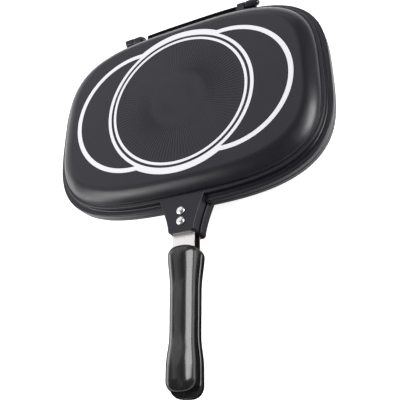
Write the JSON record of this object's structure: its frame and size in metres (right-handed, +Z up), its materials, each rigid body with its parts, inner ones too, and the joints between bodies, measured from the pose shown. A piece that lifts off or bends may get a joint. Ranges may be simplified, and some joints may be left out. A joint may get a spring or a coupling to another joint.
{
  "type": "double sided flip pan",
  "caption": "Two shallow cast pans hinged along the back edge, closed face to face on a seal, each with a riveted steel tang and a glossy grip half.",
  "frame": {"origin": "centre of the lower pan's base, on the surface that the pan rests on", "axes": "+X along the long side of the pan and the hinge line, +Y from the handles towards the hinge, +Z up out of the upper pan's base"},
  "size_m": [0.324, 0.4365, 0.0506],
  "materials": {
    "pan_coating": "satin black non-stick coating on cast aluminium",
    "tang_steel": "brushed stainless strip",
    "grip_bakelite": "glossy marbled phenolic",
    "rivet_metal": "polished domed heads",
    "screw_steel": "zinc plated",
    "magnet_nickel": "nickel plated",
    "seal_silicone": "matt silicone",
    "pin_steel": "blackened steel",
    "washer_steel": "blackened steel"
  },
  "bodies": {
    "lower_pan": {"lower_pan_shell": "pan_coating", "lower_handle_tang": "tang_steel", "lower_handle_grip": "grip_bakelite", "lower_rivet_1": "rivet_metal", "lower_rivet_2": "rivet_metal", "lower_grip_screw_1": "screw_steel", "lower_grip_screw_2": "screw_steel", "lower_magnet": "magnet_nickel", "seal_ring": "seal_silicone", "hinge_pin_left": "pin_steel", "hinge_pin_right": "pin_steel", "hinge_washer_left": "washer_steel", "hinge_washer_right": "washer_steel"},
    "upper_pan": {"upper_pan_shell": "pan_coating", "upper_handle_tang": "tang_steel", "upper_handle_grip": "grip_bakelite", "upper_rivet_1": "rivet_metal", "upper_rivet_2": "rivet_metal", "upper_grip_screw_1": "screw_steel", "upper_grip_screw_2": "screw_steel", "upper_magnet": "magnet_nickel"}
  },
  "joints": [
    {"name": "lid_hinge", "type": "hinge", "parent": "lower_pan", "child": "upper_pan", "pos_m": [0, 0.1258, 0.0253], "axis": [-1, 0, 0], "range_deg": [0, 180]}
  ]
}
